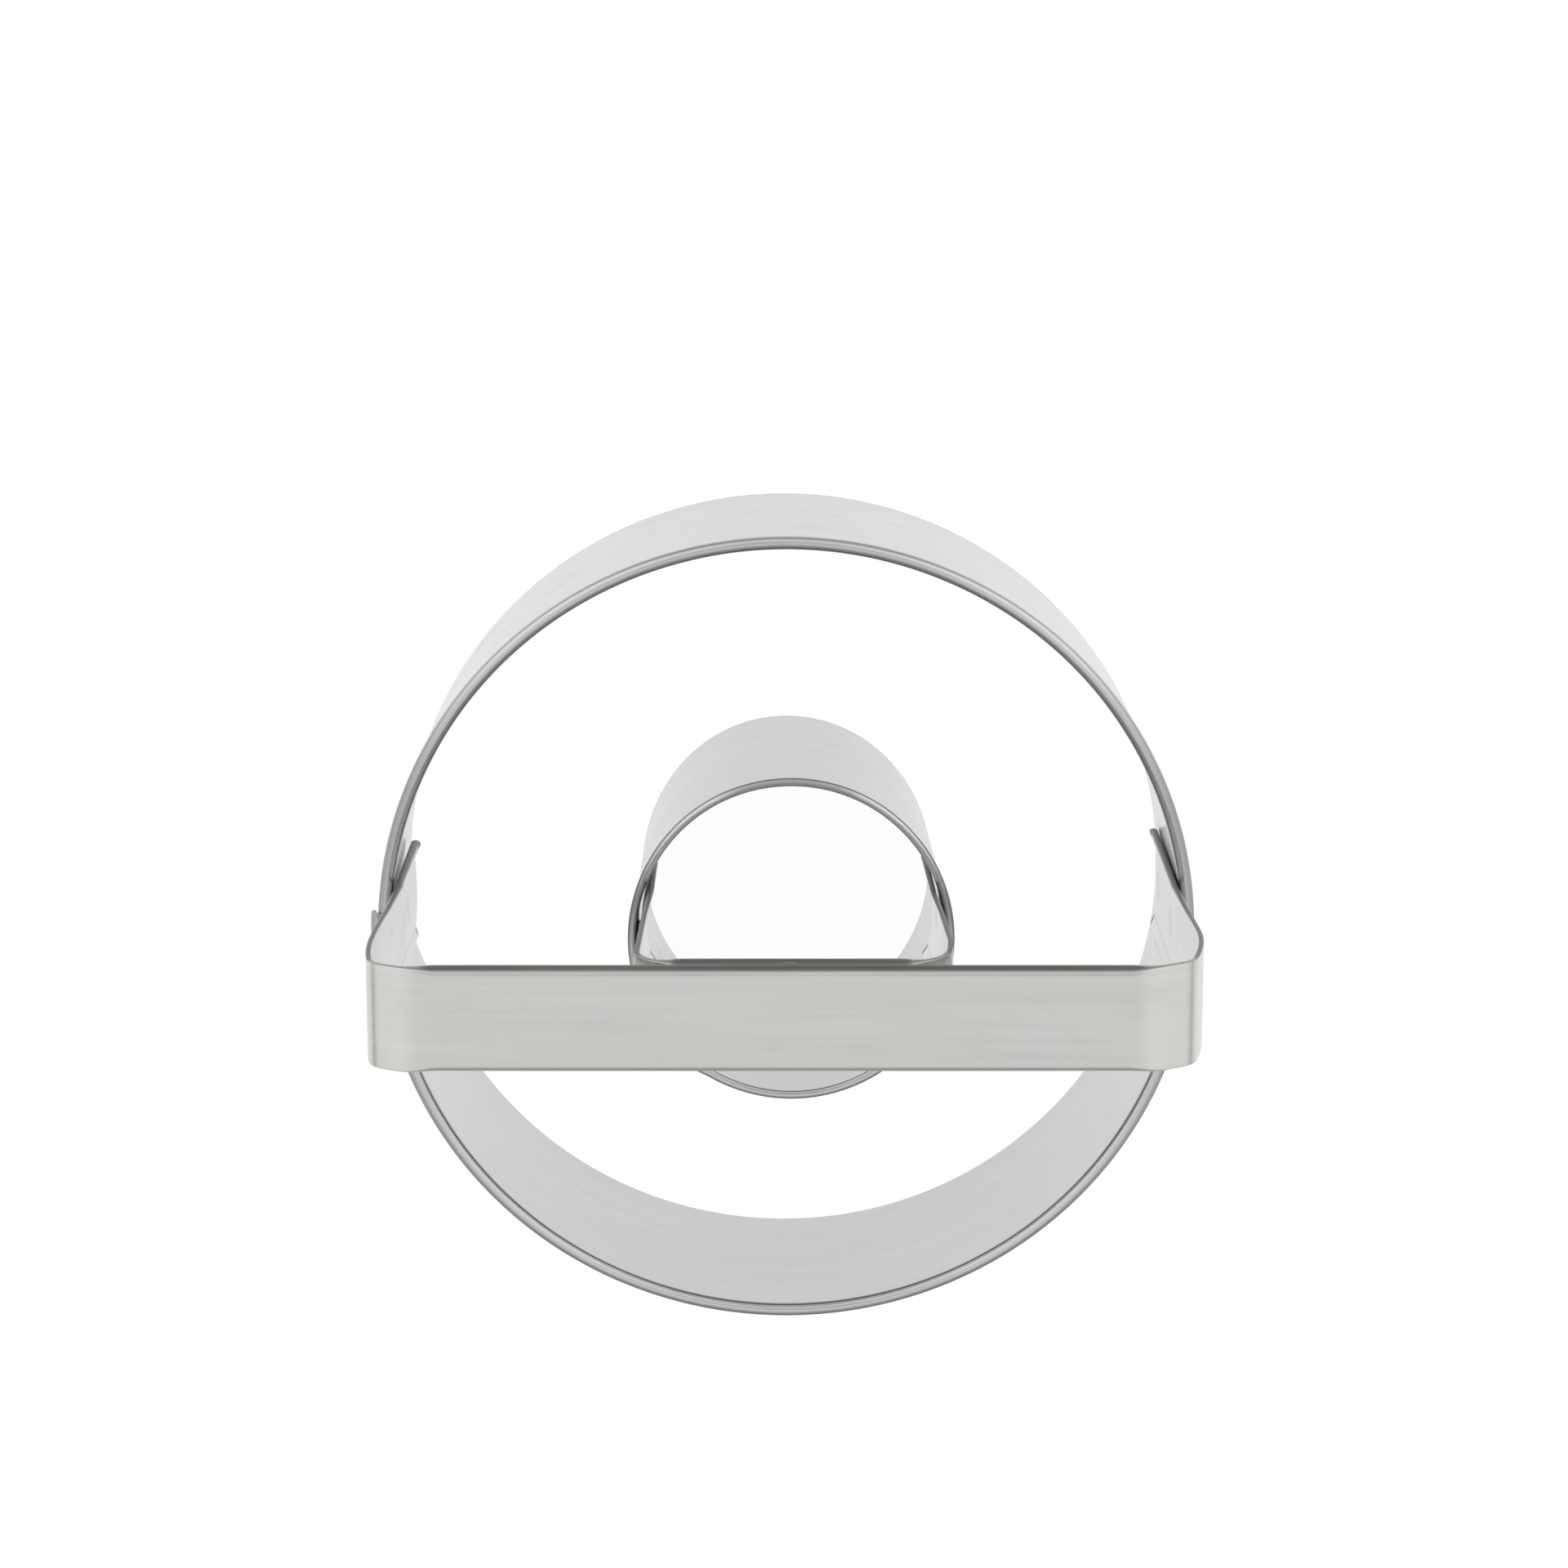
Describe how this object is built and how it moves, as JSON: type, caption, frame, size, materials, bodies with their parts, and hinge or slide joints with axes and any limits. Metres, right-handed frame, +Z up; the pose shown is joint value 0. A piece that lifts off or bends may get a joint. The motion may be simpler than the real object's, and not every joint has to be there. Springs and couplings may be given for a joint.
{
  "type": "doughnut cutter",
  "caption": "Hand pastry cutter: a small ring held inside a large ring by folded sheet-steel straps; the larger strap is the handle.",
  "frame": {"origin": "centre of the object's box in plan, at the plane of the cutting edges; within half a millimetre of the large ring's axis", "axes": "+Z up along the rings' axis from the cutting edges to the handle, X along the handle bar, Y across it"},
  "size_m": [0.0899, 0.0888, 0.0584],
  "materials": {
    "large_ring_steel": "bright rolled stainless, faint scratches along the strip",
    "centre_ring_steel": "bright rolled stainless, faint scratches along the strip",
    "handle_steel": "satin stainless brushed along the strap",
    "carrier_steel": "satin stainless brushed along the strap",
    "weld_metal": "dull heat-tinted weld metal"
  },
  "bodies": {
    "root": {"outer_ring": "large_ring_steel", "centre_ring": "centre_ring_steel", "handle_strap": "handle_steel", "centre_ring_strap": "carrier_steel", "handle_spot_weld_left_upper": "weld_metal", "handle_spot_weld_left_lower": "weld_metal", "handle_spot_weld_right_upper": "weld_metal", "handle_spot_weld_right_lower": "weld_metal", "centre_ring_spot_weld_left": "weld_metal", "centre_ring_spot_weld_right": "weld_metal", "bar_tack_weld_back": "weld_metal", "bar_tack_weld_front": "weld_metal", "outer_ring_seam_weld_upper": "weld_metal", "outer_ring_seam_weld_lower": "weld_metal", "centre_ring_seam_weld_upper": "weld_metal", "centre_ring_seam_weld_lower": "weld_metal"}
  },
  "joints": []
}
